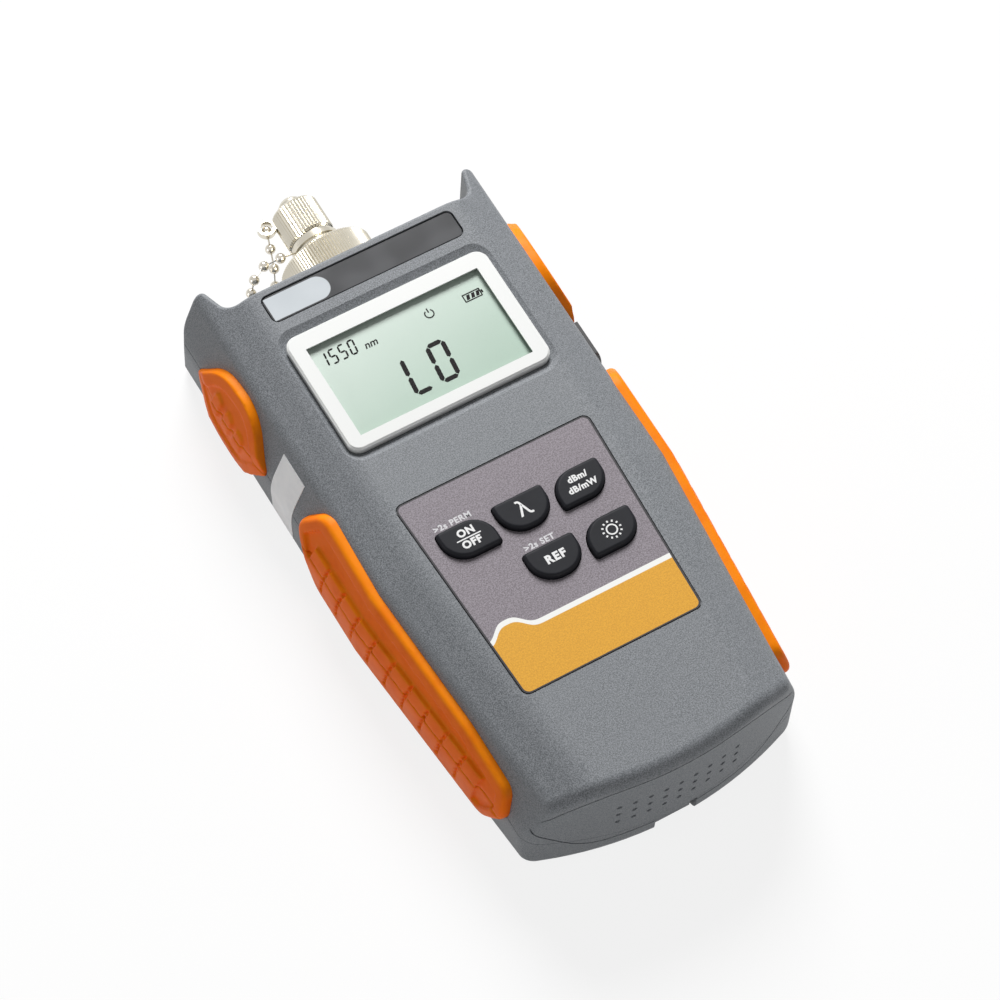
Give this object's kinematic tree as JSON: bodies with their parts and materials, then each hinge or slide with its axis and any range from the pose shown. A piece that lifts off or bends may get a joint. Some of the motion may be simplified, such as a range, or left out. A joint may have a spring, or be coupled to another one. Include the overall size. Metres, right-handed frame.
{
  "type": "optical power meter",
  "caption": "Handheld optical power meter with horned grey case, orange rubber grips, white-framed display, rubber keys and a knurled fibre port under a chained dust cap.",
  "frame": {"origin": "middle of the underside of the meter lying on its back, halfway along its length with the cap on", "axes": "+Y towards the optical port, +Z out of the display face, +X across to the right of the display"},
  "size_m": [0.0848, 0.1746, 0.0344],
  "materials": {
    "housing": "fine matte texture",
    "bezel": "gloss white",
    "holder": "matt black",
    "lens": "clear",
    "lcd": "pale green display",
    "light_guide": "milky",
    "name_strip": "gloss dark grey",
    "keypad_film": "speckled mauve grey film with a yellow band",
    "mat_rubber": "silicone",
    "dome_steel": "pressed snap domes",
    "circuit_board": "green solder mask",
    "screw_steel": "zinc plated",
    "cell_jacket": "printed sleeve",
    "contact_plating": "nickel plated",
    "label_paper": "coated white",
    "cover_rubber": "matt black",
    "socket_steel": "tin plated",
    "plated_metal": "bright nickel, knurled",
    "chain_metal": "bright nickel beads",
    "sleeve_ceramic": "ground zirconia",
    "can_metal": "gilt",
    "grip_rubber": "soft orange rubber",
    "key_rubber": "charcoal silicone"
  },
  "bodies": {
    "case": {"adapter_neck": "plated_metal", "backlight_guide": "light_guide", "battery_cells": "cell_jacket", "battery_contacts": "contact_plating", "board_screws": "screw_steel", "case_screws": "screw_steel", "data_socket": "socket_steel", "detector_barrel": "plated_metal", "detector_card": "circuit_board", "display_bezel": "bezel", "display_holder": "holder", "display_lens": "lens", "ferrule_sleeve": "sleeve_ceramic", "front_shell": "housing", "grip_lower_left_front": "grip_rubber", "grip_lower_left_rear": "grip_rubber", "grip_lower_right_front": "grip_rubber", "grip_lower_right_rear": "grip_rubber", "grip_upper_left_front": "grip_rubber", "grip_upper_left_rear": "grip_rubber", "grip_upper_right_front": "grip_rubber", "grip_upper_right_rear": "grip_rubber", "key_domes": "dome_steel", "keypad_mat": "mat_rubber", "keypad_plate": "keypad_film", "lcd_panel": "lcd", "main_board": "circuit_board", "name_strip": "name_strip", "photodiode": "can_metal", "photodiode_leads": "can_metal", "rear_shell": "housing", "seal_label": "label_paper"},
    "battery_door": {"battery_door": "housing"},
    "adapter_ring": {"adapter_ring": "plated_metal"},
    "socket_cover": {"socket_cover": "cover_rubber"},
    "dust_cap": {"dust_cap": "plated_metal", "cap_stud": "plated_metal", "cap_eyelet": "plated_metal", "chain_balls": "chain_metal", "chain_links": "chain_metal", "chain_loop": "chain_metal"},
    "key_power": {"key_power": "key_rubber"},
    "key_wavelength": {"key_wavelength": "key_rubber"},
    "key_unit": {"key_unit": "key_rubber"},
    "key_reference": {"key_reference": "key_rubber"},
    "key_backlight": {"key_backlight": "key_rubber"}
  },
  "joints": [
    {"name": "key_power_press", "type": "slide", "parent": "case", "child": "key_power", "axis": [0, 0, -1], "range_m": [0, 0.0008], "stiffness_N_per_m": 400},
    {"name": "key_wavelength_press", "type": "slide", "parent": "case", "child": "key_wavelength", "axis": [0, 0, -1], "range_m": [0, 0.0008], "stiffness_N_per_m": 400},
    {"name": "key_unit_press", "type": "slide", "parent": "case", "child": "key_unit", "axis": [0, 0, -1], "range_m": [0, 0.0008], "stiffness_N_per_m": 400},
    {"name": "key_reference_press", "type": "slide", "parent": "case", "child": "key_reference", "axis": [0, 0, -1], "range_m": [0, 0.0008], "stiffness_N_per_m": 400},
    {"name": "key_backlight_press", "type": "slide", "parent": "case", "child": "key_backlight", "axis": [0, 0, -1], "range_m": [0, 0.0008], "stiffness_N_per_m": 400},
    {"name": "cap_pull", "type": "slide", "parent": "case", "child": "dust_cap", "axis": [0, 1, 0], "range_m": [0, 0.05]},
    {"name": "ring_turn", "type": "hinge", "parent": "case", "child": "adapter_ring", "pos_m": [-0.00105, 0.0643, 0.0145], "axis": [0, 1, 0], "continuous": true},
    {"name": "door_open", "type": "hinge", "parent": "case", "child": "battery_door", "pos_m": [0, -0.0214, 0], "axis": [1, 0, 0], "range_deg": [0, 75]},
    {"name": "cover_pull", "type": "slide", "parent": "case", "child": "socket_cover", "axis": [1, 0, 0], "range_m": [0, 0.009]}
  ]
}
